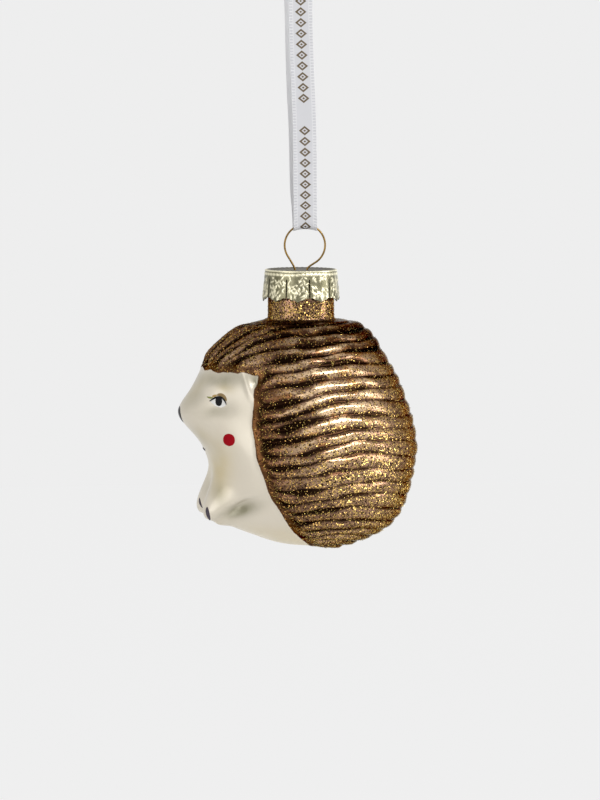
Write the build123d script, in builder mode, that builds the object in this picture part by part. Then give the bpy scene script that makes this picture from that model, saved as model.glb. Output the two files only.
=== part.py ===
from build123d import *
import os
from math import acos, asin, atan2, copysign, cos, degrees, exp, hypot, pi, radians, sin, sqrt, tan

# Hanging glass ornament in the shape of a hedgehog, in millimetres.
# The origin is the inside of the ribbon loop's top, +Z is up, the hedgehog looks along -X.

# Ribbon
ribbon_width = 6.0
ribbon_thickness = 0.3
ribbon_drop = 68.0
loop_radius = 5.0
bight_radius = 1.05
lap_length = 10.0
lap_drop = 9.0

# Wire hanger
wire_diameter = 0.5
ring_radius = 5.2
ring_standoff = 6.1
ring_shift = 1.0
leg_spread = 3.1
leg_crook = 0.4
leg_straight = 5.0
splay_depth = 11.0
tail_depth = 14.0
tail_turn_in = 1.8
wire_bend = 0.8
wire_sides = 8

# Crown cap
cap_sheet = 0.3
cap_clearance = 0.25
cap_flare = 0.7
skirt_height = 7.8
cap_edge_bevel = 0.35
petal_count = 10
petal_phase = 24.3
petal_slit = 0.35
petal_shoulder = 2.2
petal_tip = 0.9
slot_length = 1.5
slot_width = 0.9

# Glass
neck_diameter = 16.9
neck_height = 12.7
neck_root = 3.0
glass_wall = 1.2
cavity_shift = 2.4
body_height = 57.6
front_reach = 31.4
rear_reach = 29.0
half_width = 25.7
base_shift = 2.0
ridge_count = 22
ridge_height = 0.8
coat_raise = 0.3
leg_clearance = 0.3

# Side outlines of the glass as (reach, drop) shares, from the neck to the lowest point,
# after a start inside the neck in shares of its radius
neck_join_shares = ((0.8, -0.005), (1.1, 0.002))
front_shares = (
    (0.42, 0.026), (0.55, 0.06), (0.675, 0.114), (0.8, 0.2),
    (0.914, 0.314), (1.0, 0.4), (0.89, 0.493), (0.785, 0.575), (0.735, 0.66), (0.72, 0.74),
    (0.72, 0.81), (0.64, 0.885), (0.44, 0.94), (0.2, 0.985), (-0.06, 1.0),
)
rear_shares = (
    (0.43, 0.014), (0.587, 0.053), (0.707, 0.145), (0.823, 0.245),
    (0.913, 0.359), (0.985, 0.48), (1.0, 0.595), (0.967, 0.69), (0.893, 0.819), (0.773, 0.902),
    (0.557, 0.964), (0.27, 0.996), (0.067, 1.0),
)
flank_shares = (
    (0.55, 0.043), (0.755, 0.138), (0.868, 0.241), (0.955, 0.359),
    (1.0, 0.517), (0.98, 0.655), (0.906, 0.776), (0.736, 0.879), (0.49, 0.948), (0.226, 0.991),
    (0.0, 1.0),
)

# Shape of the rings that the glass is lofted through
ring_points = 24
comb_share = 0.08
sag_share = 0.03
rise_share = 0.07
pinch_share = 0.6
nose_drop_share = 0.4
nose_band_share = 0.12
first_ridge_share = 0.03
last_ridge_share = 0.93
base_share = 0.95
ridge_profile_shares = (0.0, 1.0)
cavity_shares = ((0.1, 0.6), (0.33, 0.93), (0.73, 0.93), (0.94, 0.5))
hairline_drop_share = 0.214
coat_edge_radius = 42.5
coat_edge_shares = (0.965, 0.417)
coat_fade = 3.0

# Feet and ears, as swellings of the skin at a level share and a turn from the rear
foot_swell = 6.0
foot_spread = 4.6
foot_level_share = 0.7
foot_turn = 160.0
ear_swell = 1.6
ear_spread = 3.0
ear_level_share = 0.2
ear_turn = 130.0

cut_overrun = 1.0

# Heights that the pieces share
hinge_z = -ribbon_drop
ring_sag = ring_radius - sqrt(ring_radius**2 - (ribbon_width / 2) ** 2)
ring_z = hinge_z + ring_sag / 2 - ring_radius
cap_z = ring_z - ring_standoff
rim_z = cap_z - cap_sheet
neck_z = rim_z - neck_height
neck_radius = neck_diameter / 2
bore_radius = neck_radius - glass_wall
wire_radius = wire_diameter / 2


# Glass body: rings follow the combed coat, drooping towards the face and rising along the flank
def outline_points(shares, reach, across):
    """Points of one outline, along X for the front and rear, along Y for the flank."""
    join = [(share * copysign(neck_radius, reach), drop_share) for share, drop_share in neck_join_shares]
    for distance, drop_share in join + [(share * reach, drop_share) for share, drop_share in shares]:
        height = neck_z - drop_share * body_height
        if across:
            yield (base_shift * max(drop_share, 0), distance, height)
        else:
            yield (distance, 0, height)


with BuildLine() as front_line:
    Spline(*outline_points(front_shares, -front_reach, False))

with BuildLine() as rear_line:
    Spline(*outline_points(rear_shares, rear_reach, False))

with BuildLine() as flank_line:
    Spline(*outline_points(flank_shares, half_width, True))

body_centre = Vector(0, 0, neck_z - body_height / 2)
body_top = Vector(0, 0, front_line.edge().position_at(0).Z + glass_wall)
body_base = flank_line.edge().position_at(1)


def coat_cover(spot):
    """0 on the smooth face, 1 on the ribbed coat, fading over the coat's edge."""
    edge_x = coat_edge_shares[0] * rear_reach
    edge_z = neck_z - coat_edge_shares[1] * body_height
    inside_edge = coat_edge_radius - hypot(spot.X - edge_x, spot.Z - edge_z)
    above_hairline = spot.Z - (neck_z - hairline_drop_share * body_height)
    blend = min(max(max(inside_edge, above_hairline) / coat_fade + 0.5, 0), 1)
    return blend * blend * (3 - 2 * blend)


def skin_spot(level, turn):
    """Point on the smooth body at one level share, turned from the rear over the flank to the front."""
    comb = comb_share * sin(2 * pi * level) + sag_share * sin(pi * level)
    front = front_line.edge().position_at(level + comb)
    rear = rear_line.edge().position_at(level)
    rise = rise_share * cos(turn) * sin(turn) ** 2 * sin(pi * level)
    flank = flank_line.edge().position_at(level - rise)
    nose_z = neck_z - nose_drop_share * body_height
    pinch = 1 + pinch_share * exp(-(((front.Z - nose_z) / (nose_band_share * body_height)) ** 2))
    end, power = (rear, 1) if cos(turn) > 0 else (front, pinch)
    return Vector(
        flank.X + (end.X - flank.X) * abs(cos(turn)) ** power,
        flank.Y * sin(turn),
        flank.Z + (end.Z - flank.Z) * cos(turn) ** 2,
    )


def outward(spot):
    """Unit vector out of the body at a spot of its skin."""
    return (spot - body_centre).normalized()


swellings = [
    (skin_spot(level, side * radians(turn)), swell, spread)
    for level, turn, swell, spread in (
        (foot_level_share, foot_turn, foot_swell, foot_spread),
        (ear_level_share, ear_turn, ear_swell, ear_spread),
    )
    for side in (1, -1)
]


def body_ring(level, ridge):
    """Closed curve round the body at one level share, its coat raised by ridge, its feet and ears swollen."""
    moved = []
    for step in range(ring_points):
        spot = skin_spot(level, 2 * pi * step / ring_points)
        rise = coat_cover(spot) * ridge
        for middle, swell, spread in swellings:
            rise += swell * exp(-(((spot - middle).length / spread) ** 2))
        moved.append(spot + outward(spot) * rise)
    return Wire([Edge.make_spline(moved, periodic=True)])


def base_ring(level):
    """Closed curve of one level share, flat on the glass's lowest plane."""
    spots = [skin_spot(level, 2 * pi * step / ring_points) for step in range(ring_points)]
    return Wire([Edge.make_spline([Vector(spot.X, spot.Y, body_base.Z) for spot in spots], periodic=True)])


ridge_step = (last_ridge_share - first_ridge_share) / (ridge_count * len(ridge_profile_shares))
skin_rings = [body_ring(0, 0)]
for ridge_index in range(ridge_count):
    for step_index, profile in enumerate(ridge_profile_shares):
        steps = ridge_index * len(ridge_profile_shares) + step_index
        lift = coat_raise + ridge_height * profile
        skin_rings.append(body_ring(first_ridge_share + steps * ridge_step, lift))
skin_rings.append(body_ring(last_ridge_share, coat_raise))
skin_rings.append(base_ring(base_share))
skin = Solid.make_loft([Vertex(*body_top), *skin_rings], ruled=True)


cavity_line = [(0, neck_z)]
for drop_share, width_share in cavity_shares:
    cavity_line.append((width_share * half_width - glass_wall, neck_z - drop_share * body_height))
cavity_line.append((0, neck_z - body_height + glass_wall))

with BuildPart() as glass_body:
    add(skin)
    with BuildSketch(Plane.XY.offset(neck_z - neck_root)):
        Circle(neck_radius)
    extrude(amount=neck_height + neck_root)
    with BuildSketch(Plane.XZ.shift_origin((cavity_shift, 0, 0))):
        with BuildLine():
            Polyline(*cavity_line, close=True)
        make_face()
    revolve(axis=Axis((cavity_shift, 0, 0), (0, 0, 1)), mode=Mode.SUBTRACT)
    with BuildSketch(Plane.XY.offset(neck_z - neck_root)):
        Circle(bore_radius)
    extrude(amount=neck_height + neck_root + cut_overrun, mode=Mode.SUBTRACT)

# Crown cap: a stamped cup with a flared skirt, slit into petals with pointed tips
skirt_top_radius = neck_radius + cap_clearance + cap_sheet
skirt_end_radius = skirt_top_radius + cap_flare
skirt_end_z = cap_z - skirt_height
petal_half_pitch = skirt_end_radius * tan(pi / petal_count)

with BuildPart() as petal_gap:
    with BuildSketch(Plane.YZ):
        with BuildLine():
            Polyline(
                (petal_slit / 2, cap_z - petal_shoulder),
                (petal_slit / 2, skirt_end_z + petal_tip),
                (petal_half_pitch / 2, skirt_end_z + petal_tip / 2),
                (petal_half_pitch - petal_slit / 2, skirt_end_z),
                (petal_half_pitch - petal_slit / 2, skirt_end_z - cut_overrun),
                (0, skirt_end_z - cut_overrun),
                (0, cap_z - petal_shoulder),
                close=True,
            )
        make_face()
        mirror(about=Plane.YZ)
    extrude(amount=skirt_end_radius + cut_overrun)

with BuildPart() as crown_cap:
    with BuildSketch(Plane.XZ):
        with BuildLine():
            Polyline(
                (0, cap_z),
                (skirt_top_radius, cap_z),
                (skirt_end_radius, skirt_end_z),
                (skirt_end_radius - cap_sheet, skirt_end_z),
                (skirt_top_radius - cap_sheet, rim_z),
                (0, rim_z),
                close=True,
            )
        make_face()
    revolve(axis=Axis.Z)
    chamfer(crown_cap.edges().filter_by(GeomType.CIRCLE).group_by(Axis.Z)[-1], cap_edge_bevel)
    with PolarLocations(0, petal_count, start_angle=petal_phase):
        add(petal_gap.part, mode=Mode.SUBTRACT)
    with BuildSketch(Plane.XY.offset(rim_z - cut_overrun)):
        with GridLocations(leg_spread, 0, 2, 1):
            SlotOverall(slot_length, slot_width)
    extrude(amount=cap_sheet + 2 * cut_overrun, mode=Mode.SUBTRACT)

# Wire hanger: a ring with two legs that pass the cap and splay inside the neck
splay_reach = bore_radius - wire_radius - leg_clearance


def ring_touch(side):
    """Angle on the ring where one leg leaves it, side 1 at +X and -1 at -X."""
    across = side * leg_spread / 2 - ring_shift
    down = cap_z + leg_crook - ring_z
    return atan2(down, across) + side * acos(ring_radius / hypot(across, down))


def leg_points(side):
    """Corners of one leg from its tail inside the neck up to the ring."""
    angle = ring_touch(side)
    return (
        (side * (splay_reach - tail_turn_in), cap_z - tail_depth),
        (side * splay_reach, cap_z - splay_depth),
        (side * leg_spread / 2, cap_z - leg_straight),
        (side * leg_spread / 2, cap_z + leg_crook),
        (ring_shift + ring_radius * cos(angle), ring_z + ring_radius * sin(angle)),
    )


ring_start = degrees(ring_touch(1))
ring_sweep = (degrees(ring_touch(-1)) - ring_start) % 360

with BuildPart() as wire_hanger:
    with BuildLine(Plane.XZ) as wire_line:
        FilletPolyline(*leg_points(1), radius=wire_bend)
        CenterArc((ring_shift, ring_z), ring_radius, ring_start, ring_sweep)
        FilletPolyline(*reversed(leg_points(-1)), radius=wire_bend)
    wire_path = wire_line.wire()
    with BuildSketch(Plane(origin=wire_path @ 0, z_dir=wire_path % 0)):
        RegularPolygon(wire_radius, wire_sides)
    sweep(path=wire_path)

# Ribbon: one band from the loop's top, round the ring's wire and back, its ends lapped and sewn
ribbon_lean = asin(ring_shift / ribbon_drop)
ribbon_plane = Plane(origin=(0, 0, 0), x_dir=(0, 1, 0), z_dir=(cos(ribbon_lean), 0, sin(ribbon_lean)))
loop_z = -loop_radius
ply_angle = asin((loop_radius - bight_radius) / (loop_z - hinge_z))


def band_face(grow):
    """Filled outline round the loop's top and the bight, grow outside their inner faces."""
    top = loop_radius + grow
    low = bight_radius + grow
    ends = [
        (side * radius * cos(ply_angle), height - radius * sin(ply_angle))
        for side, radius, height in ((1, top, loop_z), (-1, top, loop_z), (-1, low, hinge_z), (1, low, hinge_z))
    ]
    with BuildSketch(ribbon_plane) as face:
        with BuildLine():
            ThreePointArc(ends[0], (0, loop_z + top), ends[1])
            Line(ends[1], ends[2])
            ThreePointArc(ends[2], (0, hinge_z - low), ends[3])
            Line(ends[3], ends[0])
        make_face()
    return face.sketch


ply_radius = loop_radius + ribbon_thickness
lap_run = lap_drop + lap_length / 2
lap_centre = (
    ply_radius * cos(ply_angle) - lap_run * sin(ply_angle),
    loop_z - ply_radius * sin(ply_angle) - lap_run * cos(ply_angle),
)

with BuildPart() as ribbon:
    extrude(band_face(ribbon_thickness), amount=ribbon_width / 2, both=True)
    with BuildSketch(ribbon_plane):
        with Locations(Location(lap_centre, degrees(-ply_angle))):
            Rectangle(2 * ribbon_thickness, lap_length)
    extrude(amount=ribbon_width / 2, both=True)
    extrude(band_face(0), amount=ribbon_width / 2, both=True, mode=Mode.SUBTRACT)

os.makedirs("parts", exist_ok=True)
for piece, name in (
    (glass_body, "glass_body"),
    (crown_cap, "crown_cap"),
    (wire_hanger, "wire_hanger"),
    (ribbon, "ribbon"),
):
    piece.part.label = name
    export_step(piece.part, f"parts/{name}.step")
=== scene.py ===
"""Dresses a hanging glass hedgehog: glitter coat, pearl face, stamped cap, wire ring and satin ribbon."""

import logging
import math
from dataclasses import dataclass, field
from enum import Enum

import bpy
import numpy as np
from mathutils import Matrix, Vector
from mathutils.bvhtree import BVHTree

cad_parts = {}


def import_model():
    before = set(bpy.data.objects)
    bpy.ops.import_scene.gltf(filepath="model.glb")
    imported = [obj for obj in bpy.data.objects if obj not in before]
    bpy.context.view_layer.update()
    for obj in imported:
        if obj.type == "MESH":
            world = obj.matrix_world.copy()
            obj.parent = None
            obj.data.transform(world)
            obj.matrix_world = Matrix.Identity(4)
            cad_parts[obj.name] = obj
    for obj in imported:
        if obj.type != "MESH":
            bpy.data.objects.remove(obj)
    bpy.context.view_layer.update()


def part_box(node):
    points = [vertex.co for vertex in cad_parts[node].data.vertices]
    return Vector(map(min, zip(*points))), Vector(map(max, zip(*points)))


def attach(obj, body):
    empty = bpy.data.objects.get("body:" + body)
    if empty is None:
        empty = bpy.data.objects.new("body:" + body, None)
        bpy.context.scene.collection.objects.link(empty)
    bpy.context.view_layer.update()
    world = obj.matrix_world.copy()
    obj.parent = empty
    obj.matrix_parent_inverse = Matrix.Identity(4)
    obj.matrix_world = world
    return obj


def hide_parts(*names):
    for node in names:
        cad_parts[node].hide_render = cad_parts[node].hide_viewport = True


LOG = logging.getLogger("ornament")
MM = 0.001
EYE = (-22.55, -19.65)
Array = np.ndarray
Colour = tuple[float, float, float, float]
Points = tuple[tuple[float, float], ...]
Material = bpy.types.Material
Node = bpy.types.Node
Piece = bpy.types.Object
Socket = bpy.types.NodeSocket


class Body(Enum):
    """Moving bodies of the ornament."""

    RIBBON = "ribbon"
    HANGER = "hanger"
    CAP = "cap"
    GLASS = "glass"


class Slot(Enum):
    """Material slots of the ornament's record."""

    GLASS = "glass"
    CAP = "cap"
    WIRE = "wire"
    RIBBON = "ribbon"


class Side(Enum):
    """Direction that a painted mark is laid on in."""

    NEAR = (0, 1, 0)
    FAR = (0, -1, 0)
    FRONT = (1, 0, 0)


def smooth(edge0: float, edge1: float, value: Array) -> Array:
    """Smooth step from 0 at edge0 to 1 at edge1."""
    share = np.clip((value - edge0) / (edge1 - edge0), 0, 1)
    return share * share * (3 - 2 * share)


def bell(*shares: Array) -> Array:
    """Soft round hump: 1 in the middle, less the further off it is in any of the directions."""
    return np.exp(-sum(share**2 for share in shares))


def unit(lines: Array) -> Array:
    """The same directions with the length 1."""
    return lines / np.linalg.norm(lines, axis=1)[:, None]


def around(radius: Array, turn: Array, height: Array) -> Array:
    """Positions from radii, angles about Z and heights."""
    return np.stack([radius * np.cos(turn), radius * np.sin(turn), height], axis=1)


class Graph:
    """Small helper that adds and joins nodes in one node tree."""

    def __init__(self, tree: bpy.types.NodeTree) -> None:
        """Keeps the tree."""
        self.tree = tree

    def add(self, kind: str, inputs: dict | None = None, **settings) -> Node:
        """Adds a shader node.

        Args:
            kind: Node type without its first part, ShaderNode.
            inputs: Socket name or index to a value, or to another node's output socket.
            settings: Attributes of the node.

        Returns:
            The new node.
        """
        node = self.tree.nodes.new("ShaderNode" + kind)
        for name, value in settings.items():
            setattr(node, name, value)
        for name, value in (inputs or {}).items():
            self.put(node.inputs[name], value)
        return node

    def put(self, socket: Socket, value) -> None:
        """Links an output socket to an input, or sets the input's value."""
        if isinstance(value, Socket):
            self.tree.links.new(value, socket)
        else:
            socket.default_value = value

    def math(self, operation: str, *values, clamp: bool = False) -> Socket:
        """Adds a Math node and returns its output."""
        return self.add("Math", dict(enumerate(values)), operation=operation, use_clamp=clamp).outputs[0]

    def times(self, first, *others, clamp: bool = False) -> Socket:
        """Product of two or more values."""
        for other in others:
            first = self.math("MULTIPLY", first, other, clamp=clamp)
        return first

    def plus(self, first, second) -> Socket:
        """Sum of two values."""
        return self.math("ADD", first, second)

    def minus(self, first, second) -> Socket:
        """Difference of two values."""
        return self.math("SUBTRACT", first, second)

    def fold(self, value) -> Socket:
        """Distance from the middle of a 0 to 1 range, from 0 there to 1 at both ends."""
        return self.times(self.math("ABSOLUTE", self.minus(value, 0.5)), 2.0)

    def wave(self, value, pitch: float) -> Socket:
        """Sine wave of that pitch."""
        return self.math("SINE", self.times(value, 2 * math.pi / pitch))

    def vector(self, operation: str, inputs: dict) -> Socket:
        """Adds a Vector Math node and returns its vector output."""
        return self.add("VectorMath", inputs, operation=operation).outputs[0]

    def step(self, value, low: float, high: float) -> Socket:
        """Smooth step from 0 at low to 1 at high."""
        ends = {"Value": value, "From Min": low, "From Max": high}
        return self.add("MapRange", ends, interpolation_type="SMOOTHSTEP").outputs["Result"]

    def mix(self, kind: str, index: int, factor, first, second) -> Socket:
        """Mixes two inputs of the kind whose sockets come at that index in the Mix node."""
        inputs = {0: factor, 2 * index + 2: first, 2 * index + 3: second}
        return self.add("Mix", inputs, data_type=kind).outputs[index]

    def between(self, factor, first, second) -> Socket:
        """Mixes two values by a factor."""
        return self.mix("FLOAT", 0, factor, first, second)

    def turn(self, factor, first, second) -> Socket:
        """Mixes two vectors by a factor."""
        return self.mix("VECTOR", 1, factor, first, second)

    def blend(self, factor, first, second) -> Socket:
        """Mixes two colours by a factor."""
        return self.mix("RGBA", 2, factor, first, second)

    def attribute(self, name: str) -> Socket:
        """Value of one of the mesh's own attributes."""
        return self.add("Attribute", attribute_name=name).outputs["Fac"]

    def apart(self, value: Socket) -> list[Socket]:
        """The three parts of a vector."""
        return list(self.add("SeparateXYZ", {0: value}).outputs)

    def place(self, kind: str = "Object") -> Socket:
        """Texture coordinates."""
        return self.add("TexCoord").outputs[kind]

    def noise(self, scale, detail: float = 3.0, rough: float = 0.55) -> Socket:
        """Noise value at Object coordinates."""
        inputs = {"Vector": self.place(), "Scale": scale, "Detail": detail, "Roughness": rough}
        return self.add("TexNoise", inputs).outputs[0]

    def seen(self) -> Socket:
        """1 for rays that show the surface to the camera, directly, mirrored or through glass, else 0."""
        path = self.add("LightPath").outputs
        direct = self.math("MAXIMUM", path["Is Camera Ray"], path["Is Glossy Ray"])
        return self.math("MAXIMUM", direct, path["Is Transmission Ray"])


def new_group(name: str, inputs: dict[str, float], outputs: dict[str, str]) -> tuple[Graph, Node, Node]:
    """Starts a shader node group.

    Args:
        name: Name of the group.
        inputs: Float input names and their defaults.
        outputs: Output names and their kinds, Float or Vector.

    Returns:
        The group's graph, its input node and its output node.
    """
    tree = bpy.data.node_groups.new(name, "ShaderNodeTree")
    for key, default in inputs.items():
        tree.interface.new_socket(key, in_out="INPUT", socket_type="NodeSocketFloat").default_value = default
    for key, kind in outputs.items():
        tree.interface.new_socket(key, in_out="OUTPUT", socket_type="NodeSocket" + kind)
    return Graph(tree), tree.nodes.new("NodeGroupInput"), tree.nodes.new("NodeGroupOutput")


def glitter_group() -> bpy.types.NodeTree:
    """Scattered metal flakes: where they lie, how bright each is and which way it leans."""
    graph, given, made = new_group(
        "glitter_flakes",
        {"Scale": 2600.0, "Cover": 0.5, "Lean": 1.0},
        {"Mask": "Float", "Tone": "Float", "Normal": "Vector"},
    )
    cells = graph.add("TexVoronoi", {"Vector": graph.place(), "Scale": given.outputs["Scale"]}).outputs
    dice = graph.add("SeparateColor", {"Color": cells["Color"]}).outputs
    kept = graph.math("LESS_THAN", dice[0], given.outputs["Cover"])
    inside = graph.math("LESS_THAN", cells["Distance"], 0.62)
    swing = graph.vector("SUBTRACT", {0: cells["Color"], 1: (0.5, 0.5, 0.5)})
    lean = graph.vector("SCALE", {0: swing, "Scale": given.outputs["Lean"]})
    face = graph.add("NewGeometry").outputs["Normal"]
    normal = graph.vector("NORMALIZE", {0: graph.vector("ADD", {0: face, 1: lean})})
    for name, value in (("Mask", graph.times(kept, inside)), ("Tone", dice[2]), ("Normal", normal)):
        graph.put(made.inputs[name], value)
    return graph.tree


def mottle_group() -> bpy.types.NodeTree:
    """Cloudy unevenness in two sizes, from 0 to 1."""
    graph, given, made = new_group("mottle", {"Scale": 200.0, "Fine": 0.35}, {"Value": "Float"})
    scale = given.outputs["Scale"]
    broad = graph.noise(scale, 2.0, 0.5)
    fine = graph.noise(graph.times(scale, 9.0), 4.0, 0.5)
    graph.put(made.inputs["Value"], graph.between(given.outputs["Fine"], broad, fine))
    return graph.tree


@dataclass(frozen=True)
class Groups:
    """Shared shader groups."""

    glitter: bpy.types.NodeTree
    mottle: bpy.types.NodeTree


class Work(Graph):
    """A material under way, with its Principled shader."""

    def __init__(self, name: str, groups: Groups) -> None:
        """Starts an empty material of that name."""
        self.material = bpy.data.materials.new(name)
        self.material.use_nodes = True
        super().__init__(self.material.node_tree)
        self.shader = self.tree.nodes["Principled BSDF"]
        self.groups = groups

    def set(self, **values) -> None:
        """Sets or links Principled sockets, named with underscores for blanks."""
        for name, value in values.items():
            self.put(self.shader.inputs[name.replace("_", " ")], value)

    def mottle(self, scale: float, fine: float = 0.35) -> Socket:
        """Places the mottle group and returns its value."""
        inputs = {"Scale": scale, "Fine": fine}
        return self.add("Group", inputs, node_tree=self.groups.mottle).outputs["Value"]

    def bump(self, height, strength: float, distance: float) -> Socket:
        """Adds a Bump node over a height and returns its normal."""
        inputs = {"Height": height, "Strength": strength, "Distance": distance}
        return self.add("Bump", inputs).outputs["Normal"]


class Finish:
    """A finish: its colours, and the nodes that it puts into a material."""

    name: str

    def make(self, groups: Groups) -> Material:
        """Builds the material.

        Args:
            groups: Shared shader groups.

        Returns:
            The material.
        """
        work = Work(self.name, groups)
        self.dress(work)
        return work.material

    def dress(self, work: Work) -> None:
        """Adds the finish's nodes to a material under way."""
        raise NotImplementedError


@dataclass(frozen=True)
class LacquerFinish(Finish):
    """Pearl lacquer on the face, brown lacquer with gold glitter on the coat."""

    name: str = "hedgehog_lacquer"
    pearl: Colour = (0.705, 0.64, 0.525, 1)
    olive: Colour = (0.255, 0.235, 0.15, 1)
    tan: Colour = (0.64, 0.51, 0.24, 1)
    # Valley and hollow are painted shade in the ridges' valleys, lighter where the coat's painted light lies
    valley: Colour = (0.008, 0.003, 0.0015, 1)
    hollow: Colour = (0.062, 0.029, 0.015, 1)
    # Brown and bright are the coat's lacquer in painted shade and in painted light, mixed by the coat's
    # painted light
    brown: Colour = (0.064, 0.025, 0.012, 1)
    bright: Colour = (0.375, 0.218, 0.14, 1)
    # Amber of a painted reflection beside the painted highlight
    amber: Colour = (0.50, 0.19, 0.04, 1)
    # Cream of the painted highlight on the flanks' ridge tops
    painted_highlight_cream: Colour = (1.0, 0.72, 0.44, 1)
    margin: Colour = (0.15, 0.066, 0.024, 1)
    gold: Colour = (1.0, 0.68, 0.21, 1)
    shaded_gold_flake: Colour = (0.42, 0.21, 0.06, 1)
    bronze: Colour = (0.028, 0.011, 0.006, 1)
    grazing: Colour = (0.25, 0.19, 0.135, 1)
    flake_scale: float = 3300.0
    flake_lean: float = 1.15

    def dress(self, work: Work) -> None:
        """Lays the colours where the attributes that the glass carries say."""
        edge, rise, gilt_and_painted_light = work.attribute("coat"), work.attribute("rise"), work.attribute("gilt_and_painted_light")
        wobble = work.times(work.minus(work.noise(420.0, 4.0), 0.5), 0.5)
        coat = work.step(work.plus(edge, wobble), -0.1, 0.12)
        cloud = work.mottle(160.0)

        smudge = work.between(work.mottle(260.0, 0.2), 0.55, 1.6)
        pearl = self.pearl
        # Olive airbrush with painted shade and a painted highlight, then warm tan, over the pearl
        for name, colour in (("shade", self.olive), ("warm", self.tan)):
            pearl = work.blend(work.times(work.attribute(name), smudge, clamp=True), pearl, colour)

        crest = work.plus(rise, work.minus(work.times(cloud, 0.5), work.attribute("valley_shade")))
        lift = work.step(crest, 0.25, 0.8)
        # Painted shade in the valleys, lacquer in painted light and shade over the ridges
        low = work.blend(work.math("POWER", gilt_and_painted_light, 3.0), self.valley, self.hollow)
        lacquer = work.blend(lift, low, work.blend(gilt_and_painted_light, self.brown, self.bright))
        # Painted highlight: cream over the ridge tops on the flanks' shoulders, with fewer flakes there
        ridge_share_and_highlight_zone = work.attribute("painted_highlight")
        painted_highlight = work.times(ridge_share_and_highlight_zone, work.step(crest, 0.6, 1.0), work.step(cloud, 0.34, 0.56))
        # Painted amber reflection on the raised parts beside the painted highlight
        glow = work.times(ridge_share_and_highlight_zone, work.step(work.noise(300.0, 2.0), 0.5, 0.64))
        lacquer = work.blend(work.times(glow, work.times(lift, 0.8)), lacquer, self.amber)
        lacquer = work.blend(painted_highlight, lacquer, self.painted_highlight_cream)
        near_edge = work.step(work.plus(edge, work.times(cloud, 2.4)), 3.6, 1.6)
        lacquer = work.blend(work.times(near_edge, 0.6), lacquer, self.margin)

        patchy = work.plus(work.attribute("glitter"), work.times(work.minus(cloud, 0.5), 0.6))
        cover = work.times(patchy, work.between(lift, 0.3, 1.0), work.between(painted_highlight, 1.0, 0.3))
        sown = {"Scale": self.flake_scale, "Lean": self.flake_lean, "Cover": cover}
        flakes = work.add("Group", sown, node_tree=work.groups.glitter).outputs
        glint = work.times(flakes["Mask"], coat)
        # Flakes are painted a shaded gold in the coat's painted shade and gold in its painted light
        spark = work.blend(gilt_and_painted_light, self.shaded_gold_flake, self.gold)
        flake = work.blend(work.step(flakes["Tone"], 0.42, 0.95), self.bronze, spark)
        grain = work.bump(work.noise(900.0, 3.0), 0.12, 0.0002)
        work.set(
            Base_Color=work.blend(glint, work.blend(coat, pearl, lacquer), flake),
            Metallic=work.between(coat, 0.18, work.between(painted_highlight, 1.0, 0.75)),
            Specular_Tint=work.blend(coat, (1, 1, 1, 1), self.grazing),
            Roughness=work.between(glint, work.between(coat, work.between(cloud, 0.26, 0.38), 0.2), 0.3),
            Normal=work.turn(glint, grain, flakes["Normal"]),
            Coat_Weight=work.between(coat, 0.2, 0.0),
            Coat_Roughness=0.2,
        )


@dataclass(frozen=True)
class FlakeFinish(Finish):
    """Loose gold glitter flakes, each with its own tone."""

    name: str = "gold_glitter"
    dark: Colour = (0.04, 0.02, 0.008, 1)
    bright: Colour = (1.0, 0.77, 0.2, 1)

    def dress(self, work: Work) -> None:
        """Mixes the two colours by each flake's tone."""
        tone = work.attribute("tone")
        work.set(
            Base_Color=work.blend(tone, self.dark, self.bright),
            Metallic=1.0,
            Roughness=work.between(tone, 0.38, 0.2),
        )


@dataclass(frozen=True)
class PaintFinish(Finish):
    """A dab of gloss paint with brush unevenness."""

    name: str
    colour: Colour
    other: Colour
    roughness: float = 0.3

    def dress(self, work: Work) -> None:
        """Mixes the two colours in clouds."""
        cloud = work.mottle(700.0, 0.5)
        work.set(
            Base_Color=work.blend(work.step(cloud, 0.3, 0.7), self.colour, self.other),
            Roughness=work.between(cloud, self.roughness, self.roughness + 0.18),
            Normal=work.bump(cloud, 0.15, 0.0001),
            Specular_IOR_Level=0.07,
        )


@dataclass(frozen=True)
class StampedFinish(Finish):
    """Champagne gold sheet metal, with painted shade in its stamped hollows and a painted highlight on its
    rolled edge, darker on its crumpled top.
    """

    name: str = "champagne_cap"
    bright: Colour = (0.74, 0.69, 0.49, 1)
    # Dark gold is the sheet in the painted shade of its hollows, also mixed into the crumpled top
    dark_gold: Colour = (0.15, 0.14, 0.082, 1)
    top_grey: Colour = (0.13, 0.12, 0.12, 1)

    def dress(self, work: Work) -> None:
        """Lays the tones by the relief, as painted light and shade, and the grey where the cap is level."""
        cloud = work.mottle(500.0, 0.5)
        level = work.attribute("level")
        # Painted light on the raised relief and the rolled edge, painted shade in the stamped hollows
        tone = work.step(work.plus(work.attribute("relief"), work.times(cloud, 0.5)), 0.15, 0.85)
        crumple = work.blend(work.step(work.noise(1500.0, 3.0), 0.4, 0.65), self.top_grey, self.dark_gold)
        work.set(
            Base_Color=work.blend(level, work.blend(tone, self.dark_gold, self.bright), crumple),
            Metallic=1.0,
            Roughness=work.between(level, work.between(cloud, 0.24, 0.44), 0.6),
            Normal=work.bump(work.noise(2600.0, 4.0), 0.25, 0.0001),
        )


@dataclass(frozen=True)
class WireFinish(Finish):
    """Drawn brass wire with a dull patina."""

    name: str = "brass_wire"
    brass: Colour = (0.28, 0.17, 0.045, 1)
    patina: Colour = (0.10, 0.06, 0.018, 1)

    def dress(self, work: Work) -> None:
        """Mixes brass and patina in clouds."""
        cloud = work.mottle(600.0, 0.5)
        work.set(
            Base_Color=work.blend(work.step(cloud, 0.4, 0.7), self.brass, self.patina),
            Metallic=1.0,
            Roughness=work.between(cloud, 0.2, 0.4),
            Normal=work.bump(cloud, 0.1, 0.0001),
        )


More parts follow.
